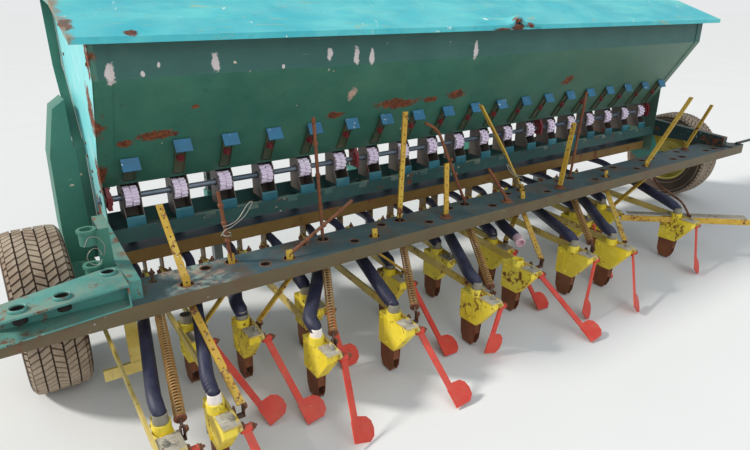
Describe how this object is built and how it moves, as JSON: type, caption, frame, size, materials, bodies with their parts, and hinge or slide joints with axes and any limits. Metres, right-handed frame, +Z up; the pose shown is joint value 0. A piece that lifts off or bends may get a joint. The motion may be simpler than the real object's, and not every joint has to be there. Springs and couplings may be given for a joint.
{
  "type": "mounted seed drill",
  "caption": "Wide rear-mounted seed drill: lidded seed hopper, studded feed rollers, trailing shoe coulters on drag arms with pressure rods and covering paddles, two end wheels.",
  "frame": {"origin": "on the ground, in the middle of the machine's box", "axes": "+Y forward in the direction of travel, +X to the machine's right, +Z up"},
  "size_m": [4.12, 1.6276, 1.29],
  "materials": {
    "hopper_green": "worn",
    "lid_turquoise": "worn",
    "frame_green": "worn",
    "rail_paint": "rusty",
    "slide_metal": "dull",
    "tab_blue": "worn",
    "dark_red": "dull",
    "roller_pink": "dusty",
    "bare_steel": "dull",
    "coulter_yellow": "worn",
    "boot_rust": "rusty",
    "cover_red": "worn",
    "spring_rust": "rusty",
    "hose_black": "ribbed",
    "hose_end_white": "dusty",
    "tyre": "dusty",
    "rim_paint": "worn"
  },
  "bodies": {
    "frame": {"hopper": "hopper_green", "lid_hinges": "frame_green", "shutter_slides": "slide_metal", "shutter_tabs": "tab_blue", "shutter_knobs": "dark_red", "feed_cups": "slide_metal", "feed_flaps": "tab_blue", "feed_bearings": "dark_red", "seed_trough": "frame_green", "main_rail": "rail_paint", "front_frame": "frame_green", "headstock": "frame_green", "side_arms": "lid_turquoise", "rear_beam": "frame_green", "end_brackets": "lid_turquoise", "marker_hinge": "frame_green", "chain_case": "frame_green", "wheel_carriers": "frame_green", "drag_arms": "coulter_yellow", "coulter_bodies": "coulter_yellow", "coulter_boots": "boot_rust", "cover_arms": "cover_red", "pressure_rods": "coulter_yellow", "springs": "spring_rust", "seed_hoses": "hose_black", "hose_ends": "hose_end_white", "track_bracket": "coulter_yellow"},
    "lid": {"lid": "lid_turquoise"},
    "feed": {"feed_shaft": "bare_steel", "feed_rollers": "roller_pink"},
    "wheel_left": {"tyre_left": "tyre", "rim_left": "rim_paint"},
    "wheel_right": {"tyre_right": "tyre", "rim_right": "rim_paint"},
    "leg_left": {"parking_leg_left": "bare_steel"},
    "leg_right": {"parking_leg_right": "bare_steel"}
  },
  "joints": [
    {"name": "lid_hinge", "type": "hinge", "parent": "frame", "child": "lid", "pos_m": [0, 0.696, 1.264], "axis": [-1, 0, 0], "range_deg": [0, 100]},
    {"name": "feed_spin", "type": "hinge", "parent": "frame", "child": "feed", "pos_m": [0, 0.352, 0.594], "axis": [1, 0, 0], "continuous": true},
    {"name": "wheel_left_spin", "type": "hinge", "parent": "frame", "child": "wheel_left", "pos_m": [-1.9145, 0.265, 0.28], "axis": [-1, 0, 0], "continuous": true},
    {"name": "wheel_right_spin", "type": "hinge", "parent": "frame", "child": "wheel_right", "pos_m": [1.9145, 0.265, 0.28], "axis": [-1, 0, 0], "continuous": true},
    {"name": "leg_left_slide", "type": "slide", "parent": "frame", "child": "leg_left", "axis": [0, 0, 1], "range_m": [0, 0.2]},
    {"name": "leg_right_slide", "type": "slide", "parent": "frame", "child": "leg_right", "axis": [0, 0, 1], "range_m": [0, 0.2]}
  ]
}
